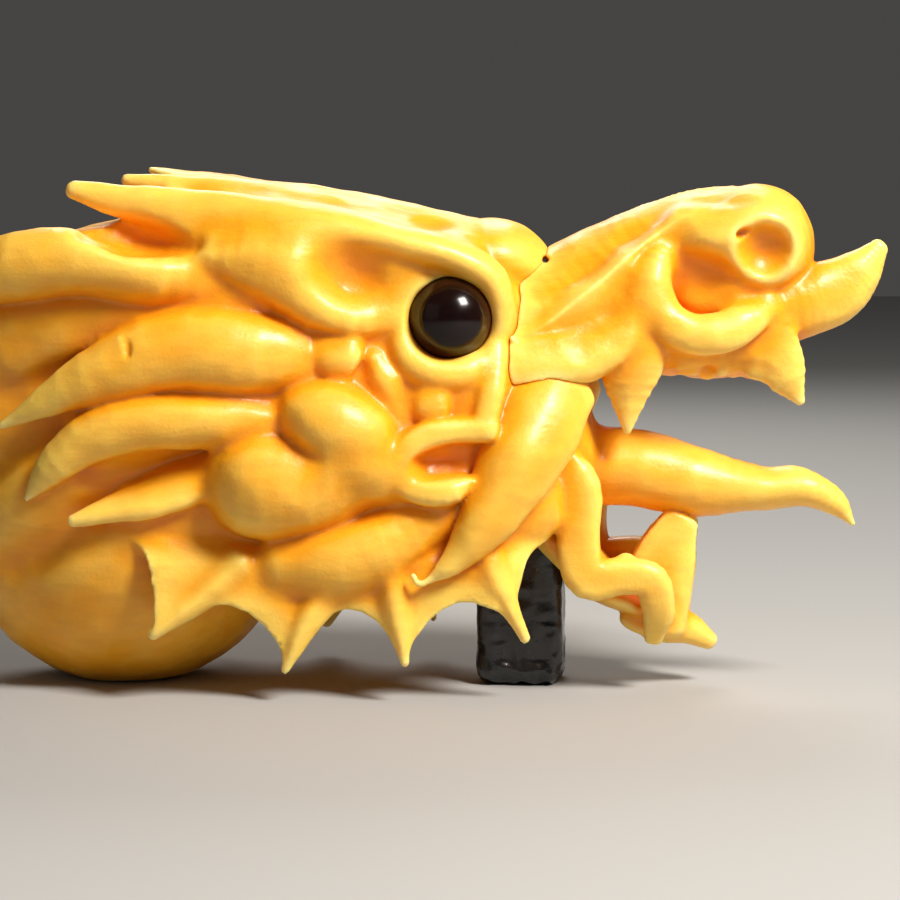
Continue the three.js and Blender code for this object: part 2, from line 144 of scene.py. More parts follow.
class Limb:
    """A tapered sweep. wide and thick are its half sizes across and along the face direction."""

    def __init__(self, spine, wide, thick=None, side=LEFT, face=None, edge=2.0, pieces=4):
        thick = wide if thick is None else thick
        stations = [(x, side * out, z, w, t) for (x, out, z), w, t in zip(spine, wide, thick)]
        rows = catmull_rom(stations, pieces)
        self.centres = rows[:, :3]
        self.halves = np.maximum(rows[:, 3:], 0.3)
        self.face = np.array((0, side, 0) if face is None else face, float)
        self.edge = edge
        widest = self.halves.max()
        self.low = self.centres.min(0) - widest
        self.high = self.centres.max(0) + widest

    def sample(self, clay):
        slack = REACH + clay.step
        cells, _ = clay.window(self.low - slack, self.high + slack)
        field = np.full([part.stop - part.start for part in cells], REACH, np.float32)
        for start, end, first, last in zip(self.centres, self.centres[1:], self.halves, self.halves[1:]):
            margin = max(first.max(), last.max()) + REACH
            inner, place = clay.window(np.minimum(start, end) - margin, np.maximum(start, end) + margin)
            local = tuple(slice(a.start - b.start, a.stop - b.start) for a, b in zip(inner, cells))
            np.minimum(field[local], self.stretch(place, start, end, first, last), out=field[local])
        return cells, field

    def stretch(self, place, start, end, first, last):
        """Distance to one straight stretch of the sweep."""
        run = end - start
        length = np.linalg.norm(run)
        ahead = run / length
        deep = self.face - ahead * self.face.dot(ahead)
        deep /= np.linalg.norm(deep)
        across = np.cross(deep, ahead)
        offset = [axis - value for axis, value in zip(place, start)]
        along = sum(o * v for o, v in zip(offset, ahead)) / length
        share = np.clip(along, 0, 1)
        wide = first[0] + share * (last[0] - first[0])
        thick = first[1] + share * (last[1] - first[1])
        parts = (
            (np.abs(sum(o * v for o, v in zip(offset, across))) / wide, wide),
            (np.abs(sum(o * v for o, v in zip(offset, deep))) / thick, thick),
            (np.abs(along - share) * length / np.minimum(wide, thick), np.minimum(wide, thick)),
        )
        return power_distance(parts, self.edge)


def power_distance(parts, edge):
    """Distance to a rounded form, from each direction's offset in half sizes and the half size."""
    if edge == 2.0:
        level = np.sqrt(sum(ratio * ratio for ratio, half in parts)) + 1e-6
        slope = np.sqrt(sum((ratio / half) ** 2 for ratio, half in parts)) / level
    else:
        level = sum(ratio ** edge for ratio, half in parts) ** (1 / edge) + 1e-6
        steep = np.sqrt(sum((ratio ** (edge - 1) / half) ** 2 for ratio, half in parts))
        slope = steep * level ** (1 - edge)
    return ((level - 1) / np.maximum(slope, 1e-6)).astype(np.float32)


class Lobe:
    """An ellipsoid, its front end turned down by dip degrees in the side view."""

    def __init__(self, at, radii, dip=0.0, side=LEFT):
        self.at = np.array((at[0], side * at[1], at[2]), float)
        self.radii = radii
        self.turn = math.radians(dip)

    def sample(self, clay):
        reach = max(self.radii) + REACH
        cells, (x, y, z) = clay.window(self.at - reach, self.at + reach)
        x, y, z = x - self.at[0], y - self.at[1], z - self.at[2]
        ahead = x * math.cos(self.turn) - z * math.sin(self.turn)
        above = x * math.sin(self.turn) + z * math.cos(self.turn)
        parts = [(np.abs(v) / half, half) for v, half in zip((ahead, y, above), self.radii)]
        return cells, power_distance(parts, 2.0)


class Web:
    """A thin sheet between the beard's ribs, its lower edge scalloped from tip to tip."""

    BEND = 6
    EDGE_TRIM = 0.4
    ROOT_DEPTH = 8
    ROOT_GROWTH = 0.12

    def __init__(self, edge, top, out, thick, side):
        outline = [edge[0]]
        for dip, tip in zip(edge[1::2], edge[2::2]):
            start = outline[-1]
            for t in np.linspace(0.125, 1, 8):
                outline.append(tuple(
                    (1 - t) ** 2 * a + 2 * t * (1 - t) * b + t * t * c for a, b, c in zip(start, dip, tip)
                ))
        outline += [(edge[-1][0], top), (edge[0][0], top)]
        self.outline = np.array(outline)
        self.out = out
        self.half = thick / 2
        self.side = side

    def sample(self, clay):
        low = np.array((self.outline[:, 0].min(), self.side * self.out, self.outline[:, 1].min()))
        high = np.array((self.outline[:, 0].max(), self.side * self.out, self.outline[:, 1].max()))
        reach = REACH + self.BEND
        cells, (x, y, z) = clay.window(low - reach, high + reach)
        flat = self.flat_distance(x[:, :, 0], z[0, :, :])[:, None, :]
        flare_below = 0.1 * (30 - z)
        flare_behind = 0.16 * np.maximum(-25 - x, 0)
        turn_in_front = 0.7 * np.maximum(x - 14, 0)
        tuck_above = 0.5 * np.maximum(z - 33, 0)
        belly = self.out + flare_below + flare_behind - turn_in_front - tuck_above
        root = np.clip(-flat, 0, self.ROOT_DEPTH) * self.ROOT_GROWTH
        sheet = np.abs(y * self.side - belly) - self.half - root
        return cells, np.maximum(flat + self.EDGE_TRIM, sheet).astype(np.float32)

    def flat_distance(self, x, z):
        """Distance to the outline in the side view, negative inside."""
        best = np.full((x.shape[0], z.shape[1]), 1e6)
        inside = np.zeros(best.shape, bool)
        for (ax, az), (bx, bz) in zip(self.outline, np.roll(self.outline, -1, 0)):
            run = np.array((bx - ax, bz - az))
            share = np.clip(((x - ax) * run[0] + (z - az) * run[1]) / max(run.dot(run), 1e-9), 0, 1)
            best = np.minimum(best, np.hypot(x - ax - share * run[0], z - az - share * run[1]))
            if az != bz:
                crosses = ((az > z) != (bz > z)) & (x < ax + (z - az) / (bz - az) * run[0])
                inside ^= crosses
        return np.where(inside, -best, best)


class Roof:
    """A folded plate, straight down each flank from its ridge to its edge.

    Each station along x gives (x, ridge height, edge out, edge height).
    """

    def __init__(self, stations, thick):
        self.stations = catmull_rom(stations, 6)
        self.thick = thick

    def sample(self, clay):
        x, ridge, out, edge = self.stations.T
        reach = np.array((0, out.max(), 0)) + REACH
        cells, (px, py, pz) = clay.window(
            np.array((x[0], 0, edge.min())) - reach, np.array((x[-1], 0, ridge.max())) + reach,
        )
        ridge, out, edge = (np.interp(px, x, values) for values in (ridge, out, edge))
        length = np.hypot(out, ridge - edge)
        down = (ridge - edge) / length
        aside = out / length
        across = np.abs(py) * aside - (pz - ridge) * down
        above = np.abs(py) * down + (pz - ridge) * aside
        ends = np.maximum(x[0] - px, px - x[-1])
        plate = np.maximum(np.maximum(above, -above - self.thick), np.maximum(across - length, ends))
        return cells, plate.astype(np.float32)


class Block:
    """A box between two corners, its edges rounded."""

    def __init__(self, low, high, corner=0.0):
        self.low = np.array(low, float)
        self.high = np.array(high, float)
        self.corner = corner

    def sample(self, clay):
        cells, place = clay.window(self.low - REACH, self.high + REACH)
        sides = [
            np.maximum(low - value, value - high) + self.corner
            for value, low, high in zip(place, self.low, self.high)
        ]
        beyond = np.sqrt(sum(np.maximum(side, 0) ** 2 for side in sides))
        within = np.minimum(np.maximum(np.maximum(sides[0], sides[1]), sides[2]), 0)
        return cells, (beyond + within - self.corner).astype(np.float32)


# Hand work: the slow unevenness of a carved surface, and the flats that a knife leaves

def unevenness(clay, cell, seed):
    """Smooth noise over the grid, about one bump every cell millimetres."""
    draw = np.random.default_rng(seed)
    spans = [axis[-1] - axis[0] for axis in clay.axes]
    knots = draw.normal(0, 1, [int(span / cell) + 3 for span in spans])
    for i, axis in enumerate(clay.axes):
        place = (axis - axis[0]) / cell
        first = place.astype(int)
        share = place - first
        share = share * share * (3 - 2 * share)
        shape = [1, 1, 1]
        shape[i] = len(share)
        share = share.reshape(shape)
        knots = np.take(knots, first, i) * (1 - share) + np.take(knots, first + 1, i) * share
    return knots.astype(np.float32)


def turned(lean, swing):
    """A turn by lean radians about x and then by swing about z."""
    about_x = np.array((
        (1, 0, 0), (0, math.cos(lean), -math.sin(lean)), (0, math.sin(lean), math.cos(lean)),
    ))
    about_z = np.array((
        (math.cos(swing), -math.sin(swing), 0), (math.sin(swing), math.cos(swing), 0), (0, 0, 1),
    ))
    return about_z @ about_x


# The lattice of strokes is turned, and only a band about the surface is worked
STROKE_TURN = turned(lean=0.6, swing=0.5)
STROKE_BAND = 2.5
STROKE_SPREAD = 0.7


def knife_flats(clay, cell, depth, seed):
    """Raises the borders between knife strokes, so that each stroke reads as a flat."""
    draw = np.random.default_rng(seed)
    band = np.argwhere(np.abs(clay.field) < STROKE_BAND)
    place = (clay.low + band * clay.step) @ STROKE_TURN
    corner = place.min(0)
    home = ((place - corner) / cell).astype(int)
    counts = home.max(0) + 3
    jitter = draw.uniform(0, 1, (*counts, 3))
    nearest = np.full(len(place), 1e9)
    for shift in np.ndindex(3, 3, 3):
        slot = np.clip(home + np.array(shift) - 1, 0, counts - 1)
        seed_place = corner + (slot + jitter[slot[:, 0], slot[:, 1], slot[:, 2]]) * cell
        nearest = np.minimum(nearest, ((place - seed_place) ** 2).sum(1))
    raised = depth * np.clip(nearest / (STROKE_SPREAD * cell) ** 2, 0, 1)
    clay.field[tuple(band.T)] -= (raised - depth / 2).astype(np.float32)


# Head: forms on the middle plane

def add_head_core(clay):
    # Rump
    clay.add(Lobe((-82, 0, 43), (44, 39, 45.5)))
    # Skull, jowl and the pad of cheek between them
    clay.add(Limb(
        [(-104, 0, 74), (-66, 0, 82), (-25, 0, 90), (6, 0, 90)],
        (26, 29, 23, 16), (33, 36, 35, 27), edge=2.3,
    ), blend=8)
    clay.add(Limb(
        [(-72, 0, 50), (-32, 0, 52), (4, 0, 56), (26, 0, 56)],
        (25, 24, 19, 12), (33, 36, 33, 21), edge=2.3,
    ), blend=8)
    clay.add(Limb(
        [(-34, 0, 71), (-5, 0, 71), (21, 0, 68)], (15, 15, 13), (35.5, 35, 28), edge=3.4,
    ), blend=6)
    # Crown under the feathers, and the mane that falls from it down the back
    clay.add(Limb(
        [(-20, 0, 106), (-50, 0, 111), (-78, 0, 110)], (6, 6, 6), (30, 30, 25), edge=2.6,
    ), blend=6)
    clay.add(Limb(
        [(-78, 0, 112), (-100, 0, 106), (-117, 0, 94), (-126, 0, 78), (-127, 0, 62), (-123, 0, 48)],
        (13, 14, 12.5, 10, 6, 1), (4, 4.5, 4.5, 4, 3, 1), face=(-1, 0, 0.6), edge=1.8,
    ), blend=2, trench=(5, 1))
    # Forehead plate, running back to a point, and the rounded end of the forehead
    clay.add(Limb(
        [(6, 0, 106), (-20, 0, 111), (-50, 0, 119), (-75, 0, 127.3)], (6, 7, 6, 1), (26, 29, 24, 2),
    ), blend=3)
    clay.add(Lobe((12, 0, 105.5), (13.5, 19, 9.5), dip=12), blend=3)
    # Tongue, jaw floor and chin
    clay.add(Limb(
        [(22, 0, 53), (42, 0, 54), (62, 0, 50), (77, 0, 48.5), (87, 0, 49), (95, 0, 45.5), (100, 0, 40)],
        (9.5, 9.8, 8.4, 5.6, 4.8, 3.3, 0.8), (12, 12, 10, 8, 6.5, 4, 1),
    ), blend=2)
    clay.add(Limb(
        [(24, 0, 40), (36, 0, 27), (46, 0, 21), (54, 0, 18)], (7, 5, 4, 4), (20, 19, 17, 13),
    ), blend=3)
    clay.add(Limb(
        [(52, 0, 15), (59, 0, 13.5), (64.5, 0, 10.5)], (5, 3.8, 2.2), (9, 6, 3), edge=2.6,
    ), blend=2)


# Head: forms carved on each flank, from the back forward

def add_rump_fold(clay, side):
    """A fold of flesh round the rump, above a shallow scoop."""
    clay.cut(Limb([(-106, 38, 30), (-94, 43, 37), (-80, 46, 46)], (5, 6, 6), (8, 8, 8), side), blend=6)
    clay.add(Limb([(-113, 22, 36), (-102, 33, 46), (-90, 37, 55)], (5, 6, 5), (4, 4, 4), side), blend=7)


def add_locks(clay, side):
    leaning = (0, side, 0.45)
    # Ground beside the mane, the bed that the flank's locks lie on, and the lock of the nape
    clay.add(Limb(
        [(-78, 13, 108), (-97, 13.5, 103), (-113, 12.5, 92), (-121, 11, 78)], (6, 6, 6, 5), (4, 4, 4, 3),
        side, (-1, 0.4 * side, 0.6),
    ), blend=3)
    clay.add(Limb(
        [(-34, 31, 75), (-56, 34.5, 73), (-80, 36, 66)], (14, 12, 10), (8, 9.5, 8), side,
    ), blend=5)
    clay.add(Limb(
        [(-80, 24, 106), (-99, 25, 101), (-114, 23, 90), (-123, 20, 74), (-122, 18, 56)],
        (11, 12, 11, 8.5, 1), (5, 5, 5, 4, 1), side, (-1, 0.8 * side, 0.6), edge=1.8,
    ), blend=2, trench=(5, 1))
    # Valley under the first lock, the ground under the horn, and the first lock
    clay.add(Limb(
        [(-12, 29.5, 89), (-34, 33.5, 90), (-56, 37, 94.5), (-78, 37.5, 93), (-100, 35.5, 88),
         (-120, 28, 79)],
        (6, 7, 8, 8, 9, 7), (4, 4, 4, 4, 4, 3), side,
    ), blend=5)
    clay.add(Limb([(-60, 31, 108), (-75, 31, 109), (-92, 29, 107.5)], (5, 5, 4), (6, 6, 5), side), blend=4)
    clay.add(Limb(
        [(-53, 35, 100), (-66, 38.5, 102), (-84, 40, 105), (-104, 38, 103), (-130, 30, 94)],
        (4, 7.4, 7.8, 8, 1.2), (4, 8, 9, 8, 1.2), side, leaning,
    ), blend=2, trench=(5, 1))
    # Fourth lock and the ground under it, then the third lock and the second
    clay.add(Limb(
        [(-50, 34, 56.4), (-68, 39, 49), (-86.4, 41.5, 43.6)], (6.6, 5.8, 1.2), (3.4, 3, 1.2),
        side, (0, side, 0.9), edge=2.4,
    ), blend=2, trench=(4, 1))
    clay.add(Limb([(-44, 30, 46), (-60, 33, 43.5), (-76, 35.5, 41.5)], (7, 6, 3), (4, 4, 2), side), blend=5)
    clay.add(Limb(
        [(-34, 35, 66.5), (-56, 41, 67.5), (-75, 43, 66.5), (-89, 43, 58.5), (-98, 41, 48.5)],
        (5, 6.4, 6.6, 5, 1), (6, 7, 6.6, 4.6, 1), side, leaning, edge=1.9,
    ), blend=2.2, trench=(3, 0.6))
    clay.add(Limb(
        [(-26, 32, 80), (-43.5, 39.5, 84), (-62, 42, 84.5), (-81.5, 43, 77.8), (-104, 40, 66)],
        (6.5, 9.8, 9.6, 7, 0.8), (6, 8, 7.6, 5.6, 0.8), side, leaning, edge=1.9,
    ), blend=2.2, trench=(3, 0.6))


def add_beard(clay, side):
    clay.add(Web(
        [(27.5, 42), (17, 30), (20.5, 16), (4, 34), (-7.7, 10), (-21.5, 35), (-36, 8.5), (-47, 33),
         (-67, 17), (-67, 39), (-78, 42)],
        44, 33.5, 2.6, side,
    ), blend=2)
    ribs = (
        [(10.5, 33, 37), (15.7, 33, 26), (20.7, 31, 15)],
        [(-12, 34, 33), (-9.5, 35.5, 21), (-7.6, 36.5, 9.6)],
        [(-27, 35, 27), (-32.3, 37, 16.8), (-36.2, 38, 7.8)],
        [(-47, 37, 33), (-58.5, 39.5, 23.5), (-67.3, 41.5, 16.5)],
    )
    for rib in ribs:
        clay.add(Limb(rib, (4.8, 3.4, 1.4), (4, 3.4, 1.6), side, edge=1.6), blend=1.2)


def add_cheek(clay, side):
    """Three lobes from the lowest up, and the soft ground between them."""
    clay.add(Limb(
        [(-36, 32, 33), (-23, 33, 34), (-11, 32, 39), (2, 30, 47)],
        (8.5, 9.5, 8.4, 7), (9, 10, 8.6, 6), side,
    ), blend=3, trench=(4, 0.6))
    clay.add(Limb(
        [(-45, 35, 53.5), (-40, 37, 52.5), (-30, 36, 52), (-19, 33, 52)],
        (13, 13.6, 11, 7), (11, 12, 10.5, 6), side,
    ), blend=3, trench=(3, 0.5))
    clay.add(Limb([(-20, 35, 63), (-11, 36, 58)], (7, 6), (7, 5), side), blend=4)
    clay.add(Lobe((-24, 37, 66.8), (14.8, 12, 10.4), 22, side), blend=2.5, trench=(3, 0.4))
    clay.add(Limb([(-24, 41, 57.5), (-16, 39.5, 56), (-9, 37, 54)], (4, 6, 5), (4, 5, 4), side), blend=6)


def add_brow_and_ear(clay, side):
    # Temple: one broad mass that carries the brow, the eye socket and the ear
    clay.add(Limb(
        [(9, 20, 92), (0, 23, 93), (-20, 27, 101.5), (-40, 30, 106), (-62, 30, 109), (-76, 29, 113)],
        (10, 15, 11, 7.5, 6, 2), (9, 11, 11, 10, 7, 2), side,
    ), blend=4)
    # Ear: a broad leaf whose upper edge runs into the horn, and the ground below its tip
    clay.add(Limb(
        [(-8, 32, 98), (-20.1, 38.4, 97.4), (-33.6, 39.6, 100.8), (-48, 39.5, 104.8), (-63.6, 39, 106.2)],
        (9, 9.8, 7.4, 4.2, 0.9), (4, 5, 5.4, 4.4, 1.4), side, (0, side, -0.15), edge=2.5,
    ), blend=3, trench=(3, 0.3))
    clay.add(Limb(
        [(-44, 37, 97), (-55, 38.5, 99.5), (-64, 38.5, 101)], (4, 4, 3), (3, 3, 3), side,
    ), blend=4)
    # Forehead slope and its three feathers, the longest sweeping back from the brow as a horn
    clay.add(Limb(
        [(4, 15, 108.5), (-20, 17, 113.5), (-45, 17, 117.5), (-66, 16, 121.5)],
        (12, 14, 11, 4), (4, 4, 4, 2.5), side, (0, 0.4 * side, 0.9), edge=3,
    ), blend=3)
    clay.add(Limb(
        [(-28, 14, 115), (-55, 15, 120), (-78, 15, 124.5)], (5, 5, 1.5), (5, 4, 1.5), side,
    ), blend=2.5)
    clay.add(Limb(
        [(13, 27, 84.5), (14.6, 27, 92), (12.5, 28.5, 101), (3, 29.5, 106.5), (-11.5, 30.5, 110),
         (-33, 31, 113), (-57, 32, 114.8), (-87, 33, 122)],
        (2.4, 3.2, 3.8, 4.2, 4.8, 6.6, 7.6, 2.2), (3.5, 5, 6.4, 8, 9, 9, 6, 2.2), side,
    ), blend=3)
    # Flank between the ear and the horn, the cup of the ear, and the hollow under the horn
    clay.add(Limb(
        [(-52, 37.5, 109), (-42, 37.5, 108.5), (-30, 36.5, 107.5), (-18, 35, 106)],
        (2.5, 4.5, 5.5, 5), (3, 5, 5, 4), side,
    ), blend=5)
    clay.cut(Lobe((-16.8, 48.8, 101), (14, 14, 9.2), 24, side), blend=6)
    clay.cut(Limb(
        [(-82, 41, 112.5), (-71, 42, 110.8), (-60, 46, 109)], (2.5, 4.6, 2), (7, 10, 7), side,
    ), blend=3)
    # Thumb dimples on the forehead
    clay.cut(Lobe((-25, 22, 122.6), (5, 5, 4), 8, side), blend=3)
    clay.cut(Lobe((-2, 20, 116.4), (5, 5, 4), 8, side), blend=3)


def add_eye_surround(clay, side):
    # Soft ground between the lid, the scales, the pearl and the strap
    clay.add(Limb([(-28, 31, 82), (-16, 32.5, 78), (-7, 33, 70)], (8, 8, 7), (4, 4, 3.6), side), blend=4)
    clay.add(Limb([(2, 31, 79), (6, 31.5, 73), (7, 32, 67)], (7, 7, 5), (3.4, 3.4, 3.4), side), blend=3)
    # Lower lid, the scales under it and the pearl
    clay.add(Limb(
        [(-8.6, 31.5, 89.5), (-7, 34, 82.7), (-1, 34.5, 78.9), (6, 33, 78.9), (12.5, 28.5, 82.5)],
        (3.4, 4, 4.3, 4, 3), (4, 4.4, 4.4, 4.4, 3.5), side, (0, side, -0.35),
    ), blend=2)
    clay.add(Limb(
        [(-23.8, 36.8, 86), (-23.4, 38.8, 82), (-22.5, 38.6, 77.6)],
        (6.3, 5.6, 1.4), (3, 3, 1.6), side, edge=2.6,
    ), blend=1.4)
    clay.add(Limb(
        [(-15, 35.8, 82), (-12.4, 36.8, 76.3), (-9.2, 36.4, 69.6)],
        (2.6, 3.8, 1), (2.6, 2.8, 1.2), side, edge=1.7,
    ), blend=1.6)
    clay.add(Limb(
        [(-1.6, 34.6, 74), (-1.4, 35.6, 71), (-1.2, 35.4, 68.4)],
        (4.4, 4.6, 2.8), (3.2, 3.4, 2.4), side, edge=2.3,
    ), blend=1.4)


def add_mouth_side(clay, side):
    # Moustache strap and its curl
    clay.add(Limb(
        [(13.5, 28, 83.5), (12.6, 31.5, 74.3), (11.3, 33.5, 65.8)],
        (2.8, 3.5, 3.6), (4, 5, 5), side, edge=2.8,
    ), blend=1.5)
    clay.add(Limb(
        [(11.5, 33.5, 65.3), (1, 36, 65), (-6.2, 37, 61.6), (-9.6, 37, 56.5), (-6.3, 37, 51.8),
         (1.5, 36.5, 50.6), (9.4, 34.5, 53.4)],
        (3.4, 3.3, 3.3, 3.4, 3.4, 3.2, 2), (5, 5, 5, 5, 5, 5, 4), side, edge=2.8,
    ), blend=1.2)
    clay.cut(Lobe((3, 41, 57.8), (8.4, 8, 3.7), side=side), blend=1.5)
    # Throat between the tusk and the web, the folded lower lip, the chip on it and the flat lower fang
    clay.add(Limb(
        [(2, 31, 47), (16, 29, 46.5), (26, 23.5, 46), (31, 19, 48)], (6, 7, 7, 5), (3.5, 3.5, 3.5, 3), side,
    ), blend=6)
    clay.add(Limb(
        [(26, 18, 58), (32.3, 20, 50), (33, 21, 36.5), (35.5, 21, 28.6), (43.5, 20, 29), (50, 19, 28),
         (52.3, 17, 21.5), (51.5, 14, 14)],
        (5.4, 5.8, 5.6, 5.2, 4.8, 4.6, 4.2, 2.8), (4, 4, 4, 4, 4, 4, 4, 3), side, edge=3,
    ), blend=1, trench=(3, 0.8))
    if side == RIGHT:
        clay.add(Lobe((44.5, 19.5, 32.6), (2.6, 2.4, 2.6), side=side), blend=1.5)
    clay.add(Limb(
        [(51, 6, 16), (53.5, 6, 30), (57.8, 6, 41)], (8.5, 7.8, 4.4), (4, 3, 1.4), side, edge=2.6,
    ), blend=1)
    # Tusk: a ridged cone with a shaving left curled at its tip
    clay.add(Limb(
        [(27, 22, 75), (22.6, 28.5, 65), (17.8, 33, 54.6), (11.1, 36, 43), (3.3, 37.5, 33.5),
         (-1.9, 38, 29.6)],
        (10.5, 11, 9.6, 6.6, 3.2, 0.8), (6, 7.5, 7.5, 5.5, 3, 0.8), side, edge=1.7,
    ), blend=1, trench=(3, 0.8))
    clay.add(Limb(
        [(-1, 38, 30), (-4, 38.6, 28.8), (-5.4, 38.6, 30.8)], (1, 0.8, 0.6), side=side,
    ), blend=0.6)


# The pinhole where the snout meets the forehead, bored along the line of sight
PINHOLE = Limb([(25.2, -20, 106.2), (23.4, 0, 104.4), (21.6, 20, 102.6)], (0.9, 0.9, 0.9), face=(0, 0, 1))


def add_knife_marks(clay):
    """The nick across the second lock, and the sliver that the knife turned up beside it."""
    clay.cut(Limb(
        [(-72.4, 48, 87.6), (-71.6, 49, 85.6), (-71.4, 49.4, 83.6)], (0.8, 1, 0.8), side=RIGHT,
    ), blend=0.4)
    clay.add(Limb(
        [(-74, 46.4, 87.2), (-73.2, 47.3, 85.4), (-73, 47.6, 83.6)], (0.7, 0.9, 0.7), side=RIGHT,
    ), blend=0.6)


def add_snout_marks(clay):
    """The ragged end of the cut beside the eye, and the torn rim of the nostril."""
    for flake in ((15.6, 25.6, 88.8), (17.2, 26.4, 86.6), (16.4, 26.8, 84.2)):
        clay.add(Lobe(flake, (1.5, 1.3, 0.9), 40, RIGHT), blend=0.5)
    clay.cut(Lobe((72.4, 17.6, 111.8), (2.2, 2.6, 1.3), -20, RIGHT), blend=0.8)


def sculpt_head():
    clay = Clay((-137, -55, -3), (105, 55, 132))
    add_head_core(clay)
    for side in (RIGHT, LEFT):
        add_rump_fold(clay, side)
        add_locks(clay, side)
        add_beard(clay, side)
        add_cheek(clay, side)
        add_brow_and_ear(clay, side)
        add_eye_surround(clay, side)
        add_mouth_side(clay, side)
    clay.field -= WANDER * unevenness(clay, cell=13, seed=4)
    knife_flats(clay, cell=9, depth=FLAT_DEPTH, seed=5)
    for side in (RIGHT, LEFT):
        add_eye_socket(clay, side)
    add_knife_marks(clay)
    clay.cut(PINHOLE, blend=0.3)
    # Underside cut off level with the table, and room for the post
    clay.cut(Block((-200, -100, -60), (200, 100, 0)), blend=0.4)
    room = 3
    post_low, post_high = post_box()
    clay.cut(Block(post_low - (room, room, 1), post_high + (room, room, SEAM)), blend=0.4)
    return clay


def add_eye_socket(clay, side):
    """A socket for the ball, opened outward so that no lid covers its rim."""
    x, y, z = EYE_PLACE
    radii = [EYE_RADIUS + SEAM] * 3
    opened = 8
    clay.cut(Lobe((x, -y + opened, z), radii, side=side), blend=1)
    clay.cut(Lobe((x, -y, z), radii, side=side), blend=0.4)


def post_box():
    """Corners of the post in the sculptor's frame."""
    return tuple((np.array(corner) - TO_ROW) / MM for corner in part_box("support_post"))


# Snout: forms on the middle plane, on each flank, and its hollows

def add_snout_core(clay):
    # Bridge of the snout, and the palate under it
    clay.add(Limb(
        [(18, 0, 90), (30, 0, 95), (42, 0, 101), (54, 0, 107), (66, 0, 109), (75, 0, 109)],
        (12, 14, 14, 12.4, 13.4, 13.6), (21, 18, 15.5, 13.5, 13.5, 14),
    ))
    clay.add(Limb(
        [(20, 0, 84), (47, 0, 85), (62, 0, 84), (78, 0, 82)], (5, 8, 8, 6), (24, 18, 15.5, 11),
    ), blend=2)
    # Folded roof, its crisp edge overhanging the dished panel on each flank
    clay.add(Roof([
        (8, 97, 23, 84.2), (14, 100.5, 23, 85.4), (24, 106.2, 23, 89), (31, 110.4, 22.5, 94.4),
        (38.4, 114.4, 21, 100.4), (44.4, 117.4, 19, 106), (50.5, 119.8, 16, 110.8), (60, 122.4, 11, 116),
        (70, 123.4, 7, 119.5),
    ], 4), blend=1)
    # Flesh behind the nose, and the nose
    clay.add(Lobe((66, 0, 98), (16, 14, 12)), blend=3)
    clay.add(Lobe((76.8, 0, 109.3), (12.8, 19.5, 14)), blend=3)
    # Upturned lip in front of the nose, cut off blunt
    clay.add(Limb(
        [(70, 0, 92), (82, 0, 93.5), (90, 0, 95.6), (96, 0, 98.3), (101, 0, 102.6), (105.2, 0, 107.6)],
        (7, 8.6, 8.4, 7.2, 4.9, 2.4), (13, 11, 8.5, 6.5, 4.4, 2.2), edge=2.4,
    ), blend=2)


def add_snout_flank(clay, side):
    # Dished panel under the roof's edge, and the lip band that climbs to the nose
    clay.add(Limb(
        [(14, 20, 86), (28, 19.5, 88), (38, 18, 92.5), (46, 15.5, 100)], (6, 7, 7, 5), (3, 3, 3, 2.5), side,
    ), blend=7)
    clay.add(Limb(
        [(6, 25.5, 80), (13, 25.8, 79.9), (28, 24.3, 80.2), (36, 22.3, 81.4), (43.5, 19.5, 86.2),
         (47.5, 17.3, 93.4), (50.6, 15, 102.4), (52.5, 11.5, 107.5)],
        (6, 6, 5.4, 4.8, 4, 3.4, 2.6, 1.2), (4, 4, 4, 4, 4, 4, 4, 2.5), side, (0, side, 0.4), edge=2.4,
    ), blend=5)
    # Flank that runs level into the nostril's rim, the hollow behind the nose and the ridge that cups it
    clay.add(Limb(
        [(57, 11.5, 113.5), (64, 14, 112), (71, 16, 109)], (4, 5.5, 7), (3, 3.5, 3.5), side, (0, side, 0.3),
    ), blend=5)
    clay.cut(Lobe((63.5, 22.2, 99.4), (10.4, 10, 9.2), side=side), blend=3.5)
    clay.add(Limb(
        [(52.8, 11.5, 107.5), (51.3, 15.5, 102.5), (51.2, 17.5, 96.8), (54, 18.5, 91), (60, 18.5, 87.6),
         (67, 17.5, 88), (73, 15, 90.4), (78, 11.5, 92.8)],
        (1.4, 3.2, 4.4, 4.8, 5, 5, 4.6, 3), (2.5, 4, 4, 4, 4, 4, 4, 3), side, (0, side, 0.3),
    ), blend=4)
    # Fang, front tooth and nostril
    clay.add(Limb(
        [(45.7, 17, 84), (45.2, 17.2, 76.5), (44.6, 17, 64)], (8.4, 6.8, 0.8), (4.5, 4, 0.8), side,
    ), blend=1.5)
    clay.add(Limb(
        [(77, 9, 86), (82, 9.5, 78.5), (86.4, 9, 71)], (9, 6, 1.6), (4, 3.2, 1.4), side,
    ), blend=2)
    clay.cut(Lobe((78.2, 21.8, 107.2), (8.2, 10.4, 8.2), side=side), blend=2.4)


def roughen_palate(clay):
    """Ragged flesh where the palate was broken out, not cut."""
    x, z = clay.axes[0][:, None, None], clay.axes[2][None, None, :]
    top = 82
    back = 54
    front = 82
    depth = 0.6
    share = np.clip((top - z) / 3, 0, 1) * np.clip((x - back) / 3, 0, 1) * np.clip((front - x) / 4, 0, 1)
    clay.field -= (depth * share * unevenness(clay, cell=3.4, seed=11)).astype(np.float32)


def sculpt_snout(head):
    clay = Clay((6, -34, 60), (111, 34, 127), SNOUT_STEP)
    add_snout_core(clay)
    for side in (RIGHT, LEFT):
        add_snout_flank(clay, side)
    roughen_palate(clay)
    clay.field -= WANDER * unevenness(clay, cell=11, seed=6)
    knife_flats(clay, cell=8, depth=FLAT_DEPTH, seed=7)
    add_snout_marks(clay)
    clay.cut(PINHOLE, blend=0.3)
    clay.keep_below(SEAM - resampled(head, clay), blend=0.3)
    return clay


